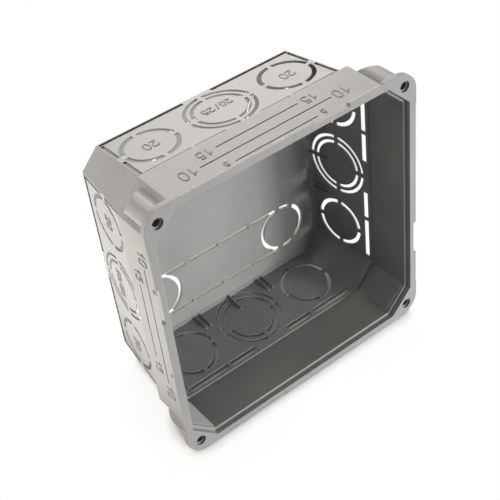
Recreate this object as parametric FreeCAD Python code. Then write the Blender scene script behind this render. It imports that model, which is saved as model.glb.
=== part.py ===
"""Flush back box: a moulded wiring box for a wall, with pre-cut knock-outs on every side.

Millimetres. The origin is the centre of the mouth plane, +Y runs back into the wall and +Z is up.
The box repeats every quarter turn about Y, so one side (the top one) and one corner (the upper right one)
are drawn and turned. An octagon here is a square whose corners are cut at 45 degrees, given by its half
width and by the leg of a corner cut.
"""
import FreeCAD, Part
import math
import os
from FreeCAD import Vector

# Lid screws: these set the size of the mouth
screw_spacing = 98.0
screw_hole = 4.1
screw_lead = 0.9          # depth of that wide mouth, before the pilot hole
screw_land = 3.4          # from a screw's centre to the rabbet's corner face
pilot_hole = 3.0
pilot_depth = 11.0
boss_radius = 4.2
boss_inset = 2.0          # from a screw's centre inwards to the middle of its boss
boss_depth = 12.6         # straight part of a boss, then it slants down to the corner face
boss_tail = 17.5          # where its rear end meets the corner face

# Rim, rabbet and ears round the mouth
rim_outset = 5.0          # rim's outer edge beyond the line of the screws
rim_edge = 0.8            # straight edge at the front of the rim
rim_flare = 3.4           # sloped underside of the rim, back to the collar
rim_face = 2.8            # flat front face of the rim
rabbet_depth = 2.0
ledge = 1.1               # seat for the lid at the bottom of the rabbet
ear_outset = 5.2          # ear's outer edge beyond the line of the screws
ear_corner = 8.0          # radius of the ear's corner
ear_arm = 9.0             # how far an ear runs along the rim from its screw
ear_plate = 1.9
notch_from_middle = 11.0  # shallow notch in the rim's edge, on one half of each side
notch_length = 14.5
notch_depth = 1.1

# Straight collar behind the rim
collar_depth = 20.2
collar_wall = 1.4
rib_pitch = 0.8           # fine ribs across the inner corner faces
rib_height = 0.35
rib_margin = 1.0          # smooth strip before the first rib and after the last
line_width = 0.45         # engraved lines that show the depth in the plaster
line_sink = 0.3
plaster_lines = ((5.0, 32.6), (10.0, 52.4), (15.0, 32.8))  # depth and length of each line

# Tapered rear part with the knock-out walls
jog = 1.5                 # step inwards from the collar to the rear part
jog_wall = 0.8
draft = 7.0               # degrees
back_leg = 6.9            # leg of the corner cut at the back
wall = 0.5
back_wall = 1.2

# Cuts that go through the side walls
conduit_20 = 20.5         # hole left by a small disc
conduit_25 = 25.5         # hole left by the outer ring of the double knock-out
panel_margin = 2.15       # from the double knock-out to the collar and to the back
ring_cut = 1.6
double_cut = 1.25
bridge = 1.7
ring_land = 1.5           # plastic kept between the double knock-out and the dashes
front_cut = 2.2           # dashes along the collar
front_land = 0.4
front_bridge = 1.4
front_split = 0.41        # where this bridge stands between the ends of its dashes
side_cut = 1.2            # dashes along the corner edges
side_edge = 0.4
side_land = 0.2           # between these and the nearest disc
side_gap = 3.5            # their break beside that disc
side_ends = 2.2
rear_cut = 1.4            # dashes along the back
rear_edge = 0.5

# Double-ended knock-outs in the back wall
stadium_side = 6.8        # from the side of the back wall
stadium_end = 7.7         # from its top or bottom edge
stadium_tail = 2.5        # the dashes stop this far short of a disc's middle
stadium_bridges = (97, 58, -58, -97)  # degrees round a disc, from the side away from its twin

# Low ribs inside, beside the back wall
web_width = 0.6
web_height = 0.6
web_length = 6.7
web_pair = 2.3            # between the two ribs of a pair
web_setback = 1.4
spine_length = 9.0

diagonal = math.sqrt(2)
offset_leg = 2 - diagonal  # what a corner's leg gains for each millimetre that an octagon grows by
overcut = 1.0              # how far a cutting shape runs past the face that it cuts

# Octagons from the mouth inwards
screw_line = screw_spacing / 2
rim_half = screw_line + rim_outset
rabbet_half = rim_half - rim_face
rabbet_leg = 2 * (rabbet_half - screw_line) + screw_land * diagonal
bore_half = rabbet_half - ledge
bore_leg = rabbet_leg - ledge * offset_leg
collar_half = bore_half + collar_wall
collar_leg = bore_leg + collar_wall * offset_leg
collar_flat = collar_half - collar_leg

# Rear part and the discs in its walls
step_depth = collar_depth - jog_wall
panel_depth = conduit_25 + 2 * panel_margin
depth = collar_depth + panel_depth
rear_half = collar_half - jog
back_half = rear_half - panel_depth * math.tan(math.radians(draft))
small_radius = conduit_20 / 2
large_radius = conduit_25 / 2
disc_depth = collar_depth + panel_depth / 2


def rear_size(y, inset=0.0):
    """Half width and corner leg of the rear part at a depth, on its outside or a wall's thickness in."""
    share = (y - collar_depth) / panel_depth
    half = rear_half + (back_half - rear_half) * share
    leg = collar_leg + (back_leg - collar_leg) * share
    return half - inset, leg - inset * offset_leg


def corner_edge(y):
    """Distance from the middle of a wall to its corner edge at a depth."""
    half, leg = rear_size(y)
    return half - leg


end_disc_x = corner_edge(disc_depth) - side_edge - side_cut - side_land - small_radius


def octagon(size, y):
    """Corner points of an octagon lying across the box."""
    half, leg = size
    flat = half - leg
    corners = [(half, -flat), (half, flat), (flat, half), (-flat, half),
               (-half, flat), (-half, -flat), (-flat, -half), (flat, -half)]
    return [Vector(x, y, z) for x, z in corners]


def facet(points):
    """Flat face with straight edges."""
    return Part.Face(Part.makePolygon(points + points[:1]))


def octagonal(front_size, front_y, back_size, back_y):
    """Solid between two octagons, with flat sides."""
    front = octagon(front_size, front_y)
    back = octagon(back_size, back_y)
    faces = [facet(front), facet(back)]
    for i, corner in enumerate(front):
        faces.append(facet([front[i - 1], corner, back[i], back[i - 1]]))
    solid = Part.Solid(Part.Shell(faces))
    solid.fix(1e-6, 1e-6, 1e-6)
    return solid


def block(x, y, z):
    """Box from three pairs of limits."""
    return Part.makeBox(x[1] - x[0], y[1] - y[0], z[1] - z[0], Vector(x[0], y[0], z[0]))


def prism(points, along):
    """Polygon pushed along a vector."""
    return facet(points).extrude(along)


def quarter_turns(shapes):
    """Copies of the top side's or the upper right corner's shapes, all the way round."""
    turned = []
    for turn in range(4):
        for shape in shapes:
            copy = shape.copy()
            copy.rotate(Vector(0, 0, 0), Vector(0, 1, 0), 90 * turn)
            turned.append(copy)
    return turned


def mirrored(shapes, normal):
    """Shapes together with their mirror images across the middle of the box."""
    return shapes + [shape.mirror(Vector(0, 0, 0), normal) for shape in shapes]


def rim_side():
    """Rim over one side: a straight edge, then a flare down to the collar, with one shallow notch."""
    flare_end = rim_edge + rim_flare
    section = [(0, bore_half), (0, rim_half), (rim_edge, rim_half),
               (flare_end, collar_half), (flare_end, bore_half)]
    bar = prism([Vector(-collar_flat, y, z) for y, z in section], Vector(2 * collar_flat, 0, 0))
    notch = block((notch_from_middle, notch_from_middle + notch_length), (-overcut, flare_end),
                  (rim_half - notch_depth, rim_half + overcut))
    return bar.cut(notch)


def ear():
    """Corner plate with a rounded corner, which takes a lid screw."""
    inner = screw_line - ear_arm
    outer = screw_line + ear_outset
    start = outer - ear_corner
    middle = start + ear_corner / diagonal
    corners = [Vector(start, 0, outer), Vector(inner, 0, outer), Vector(inner, 0, inner),
               Vector(outer, 0, inner), Vector(outer, 0, start)]
    edges = [Part.LineSegment(a, b).toShape() for a, b in zip(corners, corners[1:])]
    edges.append(Part.Arc(corners[-1], Vector(middle, 0, middle), corners[0]).toShape())
    return Part.Face(Part.Wire(edges)).extrude(Vector(0, ear_plate, 0))


def boss():
    """Post for a lid screw, between an ear and the corner face, with a slanted rear end."""
    middle = screw_line * diagonal - boss_inset
    crest = middle + boss_radius
    face = (2 * collar_half - collar_leg) / diagonal
    root = face - collar_wall / 2
    corners = [Vector(middle, 0, boss_radius), Vector(root, 0, boss_radius),
               Vector(root, 0, -boss_radius), Vector(middle, 0, -boss_radius)]
    edges = [Part.LineSegment(a, b).toShape() for a, b in zip(corners, corners[1:])]
    edges.append(Part.Arc(corners[-1], Vector(crest, 0, 0), corners[0]).toShape())
    post = Part.Face(Part.Wire(edges)).extrude(Vector(0, boss_tail, 0))
    beyond = overcut * (boss_tail - boss_depth) / (crest - face)
    slant = [(face, boss_tail), (crest + overcut, boss_depth - beyond),
             (crest + overcut, boss_tail + overcut), (face, boss_tail + overcut)]
    wedge = prism([Vector(x, y, -boss_radius - overcut) for x, y in slant],
                  Vector(0, 0, 2 * (boss_radius + overcut)))
    post = post.cut(wedge)
    post.rotate(Vector(0, 0, 0), Vector(0, 1, 0), -45)
    return post


def screw_bore():
    """Hole for a lid screw: a wide mouth in the ear, then a blind pilot hole in the boss."""
    start = Vector(screw_line, -overcut, screw_line)
    mouth = Part.makeCylinder(screw_hole / 2, screw_lead + overcut, start, Vector(0, 1, 0))
    pilot = Part.makeCylinder(pilot_hole / 2, pilot_depth + overcut, start, Vector(0, 1, 0))
    return mouth.fuse(pilot)


def corner_ribs():
    """Fine ribs across one inner corner face, as a toothed strip backed by the collar's wall."""
    first = rabbet_depth + rib_margin
    count = int((step_depth - rib_margin - first) / rib_pitch)
    face = bore_half - bore_leg / 2  # the middle of the corner face, as far along X as along Z
    root = face + collar_wall / 2 / diagonal
    crest = face - rib_height / diagonal
    section = [(first, root)]
    for rib in range(count):
        foot = first + rib * rib_pitch
        section += [(foot, face), (foot + rib_pitch / 2, crest)]
    last = first + count * rib_pitch
    section += [(last, face), (last, root)]
    half_run = bore_leg / 2
    points = [Vector(reach - half_run, y, reach + half_run) for y, reach in section]
    return prism(points, Vector(2 * half_run, 0, -2 * half_run))


def depth_lines():
    """Engraved lines across the collar's outside."""
    return [block((-length / 2, length / 2), (y - line_width / 2, y + line_width / 2),
                  (collar_half - line_sink, collar_half + overcut)) for y, length in plaster_lines]


def ring_slots(centre, axis, radius, cut, bridge_angles, length):
    """Ring-shaped cut, broken by bridges at angles from +X."""
    up = Vector(0, 0, 1)
    slots = Part.makeCylinder(radius, length)
    slots = slots.cut(Part.makeCylinder(radius - cut, length))
    for angle in bridge_angles:
        spoke = Part.makeBox(radius + overcut, bridge, length, Vector(0, -bridge / 2, 0))
        spoke.rotate(Vector(0, 0, 0), up, angle)
        slots = slots.cut(spoke)
    slots.Placement = FreeCAD.Placement(centre, FreeCAD.Rotation(up, axis))
    return slots


def break_beside(distance):
    """Half the break that a straight cut needs where it passes the double knock-out at a distance."""
    reach = large_radius + ring_land
    return math.sqrt(max(reach ** 2 - distance ** 2, bridge ** 2 / 4))


def wall_cuts():
    """Cuts through the top wall: two discs, the double knock-out between them and dashes round the panel."""
    up = Vector(0, 0, 1)
    quarters = (0, 90, 180, 270)
    low = back_half - wall - overcut
    high = rear_half + overcut
    through = high - low
    middle = Vector(0, disc_depth, low)
    end = Vector(end_disc_x, disc_depth, low)
    double = [ring_slots(middle, up, radius, double_cut, quarters, through)
              for radius in (large_radius, small_radius)]
    end_disc = ring_slots(end, up, small_radius, ring_cut, quarters, through)

    # Dashes along the collar and along the back, broken behind the double knock-out
    front = collar_depth + front_land
    rear = depth - rear_edge - rear_cut
    x_front = break_beside(disc_depth - front - front_cut)
    x_rear = break_beside(rear - disc_depth)
    x_end = end_disc_x + small_radius
    x_bridge = x_front + (x_end - x_front) * front_split
    x_corner = corner_edge(depth) - side_edge
    front_span = (front, front + front_cut)
    dashes = [block((x_front, x_bridge - front_bridge / 2), front_span, (low, high)),
              block((x_bridge + front_bridge / 2, x_end), front_span, (low, high)),
              block((x_rear, x_corner), (rear, rear + rear_cut), (back_half - wall, high))]

    # Dashes that follow the slanting corner edge, broken beside the end disc
    spans = ((collar_depth + side_ends, disc_depth - side_gap / 2),
             (disc_depth + side_gap / 2, depth - side_ends))
    for span in spans:
        outer = [Vector(corner_edge(y) - side_edge, y, low) for y in span]
        inner = [point - Vector(side_cut, 0, 0) for point in reversed(outer)]
        dashes.append(prism(outer + inner, Vector(0, 0, through)))
    return double + mirrored([end_disc] + dashes, Vector(1, 0, 0))


def back_cuts():
    """Two double-ended knock-outs in the back wall: discs joined by two rows of dashes."""
    x_disc = back_half - stadium_side - small_radius
    z_disc = back_half - stadium_end - small_radius
    span = (depth - back_wall - overcut, depth + overcut)
    shapes = [ring_slots(Vector(x_disc, span[0], z_disc), Vector(0, 1, 0), small_radius, ring_cut,
                         stadium_bridges, span[1] - span[0])]
    rows = (z_disc + small_radius - double_cut, z_disc - small_radius)
    runs = ((bridge / 2, (x_disc - bridge) / 2), ((x_disc + bridge) / 2, x_disc - stadium_tail))
    for z in rows:
        shapes += [block(run, span, (z, z + double_cut)) for run in runs]
    return mirrored(mirrored(shapes, Vector(1, 0, 0)), Vector(0, 0, 1))


def web(x, y_from, y_to):
    """Low rib on the top wall's inside, along the depth."""
    root = [Vector(x - web_width / 2, y, rear_size(y, wall / 2)[0]) for y in (y_from, y_to)]
    crest = [Vector(x - web_width / 2, y, rear_size(y, wall + web_height)[0]) for y in (y_to, y_from)]
    return prism(root + crest, Vector(web_width, 0, 0))


def webs():
    """Ribs by the back: a spine on the double knock-out's bridges and a pair on each side of it."""
    back = depth - back_wall
    pair_end = back - web_setback
    x_pair = (large_radius + end_disc_x - small_radius) / 2
    pair = [web(x_pair + side * web_pair / 2, pair_end - web_length, pair_end) for side in (-1, 1)]
    return [web(0, back - spine_length, back)] + mirrored(pair, Vector(1, 0, 0))


def back_box():
    """The whole moulding."""
    collar = octagonal((collar_half, collar_leg), 0, (collar_half, collar_leg), collar_depth)
    rear = octagonal((rear_half, collar_leg), collar_depth, (back_half, back_leg), depth)
    body = collar.fuse([rear] + quarter_turns([rim_side(), ear(), boss()]))

    floor = depth - back_wall
    rabbet = octagonal((rabbet_half, rabbet_leg), -overcut, (rabbet_half, rabbet_leg), rabbet_depth)
    bore = octagonal((bore_half, bore_leg), -overcut, (bore_half, bore_leg), step_depth)
    cavity = octagonal(rear_size(step_depth, wall), step_depth, rear_size(floor, wall), floor)
    body = body.cut([rabbet, bore, cavity] + quarter_turns([screw_bore()] + depth_lines()))
    body = body.cut(back_cuts() + quarter_turns(wall_cuts()))
    return body.fuse(quarter_turns([corner_ribs()] + webs())).removeSplitter()


os.makedirs("parts", exist_ok=True)
back_box().exportStep("parts/back_box.step")
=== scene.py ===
import math

import bpy
from mathutils import Matrix, Vector


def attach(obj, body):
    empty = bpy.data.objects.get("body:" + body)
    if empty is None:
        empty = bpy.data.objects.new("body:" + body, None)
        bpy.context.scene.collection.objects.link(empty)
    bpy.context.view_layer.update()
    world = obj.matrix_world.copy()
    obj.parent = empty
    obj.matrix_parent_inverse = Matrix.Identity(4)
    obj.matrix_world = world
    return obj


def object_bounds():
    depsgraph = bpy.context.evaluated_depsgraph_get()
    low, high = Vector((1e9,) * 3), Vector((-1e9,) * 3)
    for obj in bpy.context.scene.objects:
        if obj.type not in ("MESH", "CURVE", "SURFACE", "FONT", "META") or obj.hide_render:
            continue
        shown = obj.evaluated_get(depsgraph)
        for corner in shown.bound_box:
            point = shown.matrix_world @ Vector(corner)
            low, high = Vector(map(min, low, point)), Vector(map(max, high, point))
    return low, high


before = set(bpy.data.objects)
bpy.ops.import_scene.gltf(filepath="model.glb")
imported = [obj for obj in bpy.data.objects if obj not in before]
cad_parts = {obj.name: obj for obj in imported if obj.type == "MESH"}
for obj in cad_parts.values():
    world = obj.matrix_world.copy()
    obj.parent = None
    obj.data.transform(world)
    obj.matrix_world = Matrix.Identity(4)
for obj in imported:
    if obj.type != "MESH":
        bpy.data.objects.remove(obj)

cad_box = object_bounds()
scene = bpy.context.scene
scene.view_settings.view_transform = "Standard"

# The back box is one injection moulding in grey thermoplastic, straight from the tool. Its faces are
# satin from the spark-finished mould, with cloudy pigment, faint flow marks and a slight wave. Its edges
# are painted pale, a painted highlight along every edge.


class Tone:
    """One output of a shader node: arithmetic on it adds Math nodes, add makes any other node."""

    def __init__(self, tree, output=None):
        self.tree = tree
        self.output = output

    def add(self, kind, settings=None, inputs=None, output=0):
        node = self.tree.nodes.new("ShaderNode" + kind)
        for name, value in (settings or {}).items():
            setattr(node, name, value)
        for name, value in (inputs or {}).items():
            if isinstance(value, Tone):
                self.tree.links.new(value.output, node.inputs[name])
            else:
                node.inputs[name].default_value = value
        return Tone(self.tree, node.outputs[output] if node.outputs else None)

    def maths(self, operation, *values):
        return self.add("Math", {"operation": operation}, dict(enumerate(values)))

    def __add__(self, other):
        return self.maths("ADD", self, other)

    def __radd__(self, other):
        return self.maths("ADD", other, self)

    def __sub__(self, other):
        return self.maths("SUBTRACT", self, other)

    def __rsub__(self, other):
        return self.maths("SUBTRACT", other, self)

    def __mul__(self, other):
        return self.maths("MULTIPLY", self, other)

    def __rmul__(self, other):
        return self.maths("MULTIPLY", other, self)


def clear_material(name):
    """A material with an empty node tree, and a first tone to add its nodes from."""
    material = bpy.data.materials.new(name)
    material.use_nodes = True
    material.node_tree.nodes.clear()
    return material, Tone(material.node_tree)


grey = (0.19, 0.19, 0.187, 1.0)
pale_grey = (0.235, 0.235, 0.23, 1.0)
# Painted highlight: the pale grey put on the edges
edge_highlight_grey = (0.36, 0.36, 0.352, 1.0)
cloud_share = 1.5
flow_share = 0.5
pale_start = 0.75
edge_radius = 0.00022
edge_highlight_sharpness = 4.0
brightest_edge_highlight = 0.8
grain_height = 0.000012
wave_height = 0.00012
satin_roughness = 0.30
cloud_roughness = 0.18
grain_roughness = 0.08

moulded_plastic, start = clear_material("moulded_grey_plastic")
place = start.add("TexCoord", output="Object")
face = start.add("NewGeometry", output="Normal")

# Slow cloudiness of the pigment and long flow marks across the walls
cloud = start.add("TexNoise", None, {"Vector": place, "Scale": 38.0, "Detail": 4.0, "Roughness": 0.55})
stretched = start.add("Mapping", None, {"Vector": place, "Scale": (260.0, 60.0, 260.0)})
flow = start.add("TexNoise", None, {"Vector": stretched, "Scale": 1.0, "Detail": 3.0, "Roughness": 0.6})
paleness = start.maths("MULTIPLY_ADD", cloud, cloud_share, flow * flow_share - pale_start)
body_colour = start.add("Mix", {"data_type": "RGBA"}, {0: paleness, 6: grey, 7: pale_grey}, 2)

# Painted highlight: edges made pale where a small round-over would turn the surface
edge_round = start.add("Bevel", {"samples": 6}, {"Radius": edge_radius})
turned = start.add("VectorMath", {"operation": "DOT_PRODUCT"}, {0: edge_round, 1: face}, "Value")
on_edge = start.maths("MINIMUM", (1.0 - turned) * edge_highlight_sharpness, 1.0)
edge_highlight_noise = start.add("TexNoise", None, {"Vector": place, "Scale": 420.0, "Detail": 3.0})
painted_edge_highlight = on_edge * start.maths("MINIMUM", edge_highlight_noise, brightest_edge_highlight)
colour = start.add("Mix", {"data_type": "RGBA"}, {0: painted_edge_highlight, 6: body_colour, 7: edge_highlight_grey}, 2)

# Spark finish and slight waviness of the walls
grain = start.add("TexNoise", None, {"Vector": place, "Scale": 2400.0, "Detail": 2.0})
wave = start.add("TexNoise", None, {"Vector": place, "Scale": 70.0, "Detail": 1.0})
relief = grain * grain_height + wave * wave_height
surface = start.add("Bump", None, {"Strength": 1.0, "Distance": 1.0, "Height": relief, "Normal": edge_round})
roughness = satin_roughness + cloud * cloud_roughness + grain * grain_roughness

plastic = start.add("BsdfPrincipled", None, {
    "Base Color": colour, "Roughness": roughness, "Normal": surface, "IOR": 1.49,
    "Specular IOR Level": 0.26})
start.add("OutputMaterial", None, {"Surface": plastic})

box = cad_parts["back_box"]
box.data.materials.clear()
box.data.materials.append(moulded_plastic)

# A thin skin closes the corners behind the dashes that run along the back and along the corner edges. It
# lies aslant on the inside, from each wall to the back wall and to the corner faces beside it, so the room
# light that comes in at the rings does not come in there.
collar_top = 0.0515
rear_top = 0.0500
collar_end = 0.0202
rear_slope = math.tan(math.radians(7.0))
wall = 0.0005
skin_thickness = 0.00012
skin_lap = 0.0001
rear_skin = (0.0479, 0.0489)
rear_skin_drop = 0.0009
side_skin_ends = (0.0212, 0.0488)
corner_edges = (0.0406, 0.0395)
side_skin_in = 0.0018
side_skin_out = 0.0005
side_skin_drop = 0.0006


def wall_top(y):
    """Height of the outside of the top wall at a depth."""
    return collar_top if y < collar_end else rear_top - (y - collar_end) * rear_slope


def wall_inside(y):
    """Height of the inside of the top wall at a depth."""
    return wall_top(y) - wall


skin_corners = []
for turn in range(4):
    quarter = Matrix.Rotation(turn * math.pi / 2, 3, "Y")
    for side in (-1, 1):
        ends = list(zip(corner_edges, side_skin_ends))
        skin_corners += [quarter @ Vector((side * (x - side_skin_in), y, wall_inside(y) + skin_lap))
                         for x, y in ends]
        skin_corners += [quarter @ Vector((side * (x + side_skin_out), y, wall_inside(y) - side_skin_drop))
                         for x, y in reversed(ends)]
    front, back = rear_skin
    end = corner_edges[1]
    skin_corners += [quarter @ Vector((x, front, wall_inside(front) + skin_lap)) for x in (-end, end)]
    skin_corners += [quarter @ Vector((x, back, wall_inside(front) - rear_skin_drop)) for x in (end, -end)]
skin_faces = [range(corner, corner + 4) for corner in range(0, len(skin_corners), 4)]
skin_mesh = bpy.data.meshes.new("corner_skins")
skin_mesh.from_pydata(skin_corners, [], skin_faces)
skin_mesh.materials.append(moulded_plastic)
skins = bpy.data.objects.new("corner_skins", skin_mesh)
scene.collection.objects.link(skins)
thickness = skins.modifiers.new("thickness", "SOLIDIFY")
thickness.thickness = skin_thickness
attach(skins, "root")

# Size marks stand proud of every wall, cut into the mould with a round-nosed engraver: the depth lines
# carry 5, 10 and 15, the end discs carry 20 and the double disc carries 20/25. They stand the right way
# up when the box is looked at from behind.
stroke_radius = 0.00028
stroke_sink = 0.00004
digit_width = 0.56
digit_step = 0.80
# Painted shade: the marks' greys are darker than the walls', for the shadow in and beside their strokes
mark_shade_grey = (0.10, 0.10, 0.098, 1.0)
pale_mark_shade_grey = (0.16, 0.16, 0.157, 1.0)

# Each digit's strokes for a height of 1: points across and up, and whether the stroke is closed
digits = {
    "0": [([(0, .3), (0, .7), (.1, 1.02), (.46, 1.02), (.56, .7), (.56, .3), (.46, -.02), (.1, -.02)], True)],
    "1": [([(.04, .68), (.30, .70), (.36, 1), (.36, 1), (.36, 0)], False)],
    "2": [([(0, .72), (0, 1), (.28, 1), (.56, 1), (.56, .70), (.5, .5), (0, .06), (0, 0), (0, 0), (.56, 0)],
           False)],
    "5": [([(.52, 1), (.06, 1), (.06, 1), (.03, .58), (.03, .58), (.30, .68), (.56, .62), (.56, .30),
            (.56, 0), (.28, 0), (0, 0), (0, .18)], False)],
    "/": [([(.05, -.1), (.25, .5), (.45, 1.1)], False)],
}

# Each mark's text, its middle along the wall and in depth, and its height
marks = [("10", 0.0305, 0.0100, 0.0042), ("10", -0.0305, 0.0100, 0.0042),
         ("15", 0.0210, 0.0147, 0.0036), ("15", -0.0210, 0.0147, 0.0036),
         ("5", 0.0193, 0.0056, 0.0022), ("5", -0.0193, 0.0056, 0.0022),
         ("20", 0.0280, 0.0349, 0.0037), ("20", -0.0280, 0.0349, 0.0037),
         ("20/25", 0.0, 0.0372, 0.0030)]


def on_top_wall(x, y):
    """Point just under the outside of the top wall, where the middle of a stroke lies."""
    return Vector((x, y, wall_top(y) - stroke_sink))


strokes = bpy.data.curves.new("size_marks", "CURVE")
strokes.dimensions = "3D"
strokes.bevel_depth = stroke_radius
strokes.bevel_resolution = 1
strokes.resolution_u = 3
strokes.use_fill_caps = True
for turn in range(4):
    quarter = Matrix.Rotation(turn * math.pi / 2, 3, "Y")
    for text, middle_x, middle_y, height in marks:
        width = (len(text) - 1) * digit_step + digit_width
        for place_in_text, digit in enumerate(text):
            for points, closed in digits[digit]:
                spline = strokes.splines.new("NURBS")
                spline.points.add(len(points) - 1)
                for point, (across, up) in zip(spline.points, points):
                    x = middle_x - (place_in_text * digit_step + across - width / 2) * height
                    y = middle_y - (up - 0.5) * height
                    point.co = (*(quarter @ on_top_wall(x, y)), 1.0)
                spline.order_u = 3
                spline.use_cyclic_u = closed
                spline.use_endpoint_u = not closed

# The marks' material: plastic in a darker grey, which is painted shade
mark_shade_plastic, start = clear_material("painted_shade_mark_plastic")
place = start.add("TexCoord", output="Object")
cloud = start.add("TexNoise", None, {"Vector": place, "Scale": 300.0, "Detail": 3.0})
colour = start.add("Mix", {"data_type": "RGBA"}, {0: cloud, 6: mark_shade_grey, 7: pale_mark_shade_grey}, 2)
plastic = start.add("BsdfPrincipled", None, {"Base Color": colour, "Roughness": 0.6, "IOR": 1.49})
start.add("OutputMaterial", None, {"Surface": plastic})

size_marks = bpy.data.objects.new("size_marks", strokes)
scene.collection.objects.link(size_marks)
size_marks.data.materials.append(mark_shade_plastic)
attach(size_marks, "root")

# A plain white table. The box leans on it with the ears of its rim in front and the rear edge of its
# collar behind, so it slopes in the box's own frame. It shows as white paper does in a light tent, and
# near the box ambient occlusion fades the white into paper lit by the lamps, a painted shadow round the box.
half_table = 0.3
ear_plate = 0.0019
ear_low = cad_box[0][2]
table_slope = (-collar_top - ear_low) / (collar_end - ear_plate)
contact_reach = 0.006
contact_start = 0.5
contact_contrast = 2.5
shadow_reach = 0.05
shadow_depth = 0.3
paper_white = (0.85, 0.85, 0.85, 1.0)
paper_bounce = (0.3, 0.3, 0.3, 1.0)
white = (1.0, 1.0, 1.0, 1.0)


def table_height(y):
    """Height of the table top at a depth."""
    return ear_low + (y - ear_plate) * table_slope


def white_to_see(start):
    """1 for rays of the camera, of gloss and through clear parts, to which the surroundings are white."""
    camera_ray, gloss_ray, clear_ray = (start.add("LightPath", output=f"Is {kind} Ray")
                                        for kind in ("Camera", "Glossy", "Transmission"))
    return camera_ray + gloss_ray + clear_ray


table_mesh = bpy.data.meshes.new("table")
table_corners = [(x * half_table, y * half_table, table_height(y * half_table))
                 for x, y in ((-1, -1), (1, -1), (1, 1), (-1, 1))]
table_mesh.from_pydata(table_corners, [], [(0, 1, 2, 3)])
table = bpy.data.objects.new("table", table_mesh)
scene.collection.objects.link(table)

white_paper, start = clear_material("white_paper")
seen = white_to_see(start)
# Painted shadow: the two ambient occlusions take the white away close to the box and dim it a little further
# out
tight = start.add("AmbientOcclusion", {"samples": 16}, {"Distance": contact_reach}, "AO")
wide = start.add("AmbientOcclusion", {"samples": 16}, {"Distance": shadow_reach}, "AO")
clear = start.add("Math", {"operation": "MULTIPLY_ADD", "use_clamp": True},
                  {0: tight, 1: contact_contrast, 2: -contact_contrast * contact_start})
paper = start.add("BsdfDiffuse", None, {"Color": paper_white})
bounce = start.add("BsdfDiffuse", None, {"Color": paper_bounce})
glow = start.add("Emission", None, {"Color": white, "Strength": 1.0})
lit = start.add("MixShader", None, {0: seen, 1: bounce, 2: glow})
openness = clear * ((1.0 - shadow_depth) + wide * shadow_depth)
shown = start.add("MixShader", None, {0: openness, 1: paper, 2: lit})
start.add("OutputMaterial", None, {"Surface": shown})
table_mesh.materials.append(white_paper)

# Lamps of a product table: a row of key lamps in front, low and to the right, whose light just reaches the
# back wall, soft boxes above and behind for the outside, and a lit card on the table for the left wall.
# The keys are small and strong, so they are kept out of reflections.
aim = Vector((0.0, 0.025, 0.0))
lamp_reach = 0.9
key_size = 0.17
box_size = 0.35
white_light = (1.0, 1.0, 1.0)
warm_light = (1.0, 0.953, 0.893)


def soft_box(name, direction, size, power, colour):
    """Square lamp that looks at the middle of the box from a direction."""
    lamp = bpy.data.lights.new(name, "AREA")
    lamp.shape = "SQUARE"
    lamp.size = size
    lamp.energy = power
    lamp.color = colour
    holder = bpy.data.objects.new(name, lamp)
    holder.location = aim + Vector(direction).normalized() * lamp_reach
    holder.rotation_euler = (aim - holder.location).to_track_quat("-Z", "Y").to_euler()
    scene.collection.objects.link(holder)
    return holder


for key in (soft_box("key_left", (0.30, -0.95, -0.02), key_size, 3.4, white_light),
            soft_box("key_middle", (0.50, -0.865, -0.02), key_size, 8.2, white_light),
            soft_box("key_right", (0.66, -0.75, -0.02), key_size, 2.9, white_light)):
    key.visible_glossy = False
soft_box("front_box", (0.1, -0.99, -0.06), box_size, 1.0, white_light)
soft_box("top_back_box", (0.0, 0.53, 0.848), box_size, 4.8, warm_light)
soft_box("top_right_box", (0.459, 0.265, 0.848), box_size, 4.0, warm_light)
soft_box("right_back_box", (0.433, 0.75, 0.5), box_size, 4.0, warm_light)
soft_box("left_back_box", (-0.861, 0.497, 0.105), box_size, 3.1, warm_light)
soft_box("left_top_box", (-0.75, 0.433, 0.5), box_size, 3.3, warm_light)
soft_box("top_left_box", (-0.459, -0.265, 0.848), box_size, 1.6, warm_light)

card_x = -0.175
card_y = 0.11
card_lift = 0.002
card_size = 0.2
card_power = 1.18
card = soft_box("card", (0.0, 0.0, 1.0), card_size, card_power, warm_light)
card.location = (card_x, card_y, table_height(card_y) + card_lift)
card.rotation_euler = (math.pi + math.atan(table_slope), 0.0, 0.0)
card.visible_camera = False
card.visible_glossy = False

# The tent round the table is white cloth. It shows behind the box and in its gloss, and gives no light
# of its own.
world = bpy.data.worlds.new("tent")
scene.world = world
world.use_nodes = True
world.node_tree.nodes.clear()
start = Tone(world.node_tree)
seen = white_to_see(start)
backdrop = start.add("Background", None, {"Color": white, "Strength": 1.0})
shown = start.add("MixShader", None, {0: seen, 2: backdrop})
start.add("OutputWorld", None, {"Surface": shown})

# The camera stands to the left of the box and looks down into its mouth, held a little off level. Its
# lens is a long one, so the walls run together only a little.
camera_place = Vector((-0.161305, -0.218869, 0.247054))
camera_turn = 0.57749
camera_down = 0.71493
camera_lean = 0.13096
lens = bpy.data.cameras.new("camera")
lens.sensor_width = 36.0
lens.lens = 78.763
lens.clip_start = 0.01
camera = bpy.data.objects.new("camera", lens)
camera.matrix_world = (Matrix.Translation(camera_place) @ Matrix.Rotation(-camera_turn, 4, "Z")
                       @ Matrix.Rotation(math.pi / 2 - camera_down, 4, "X")
                       @ Matrix.Rotation(-camera_lean, 4, "Z"))
scene.collection.objects.link(camera)
scene.camera = camera
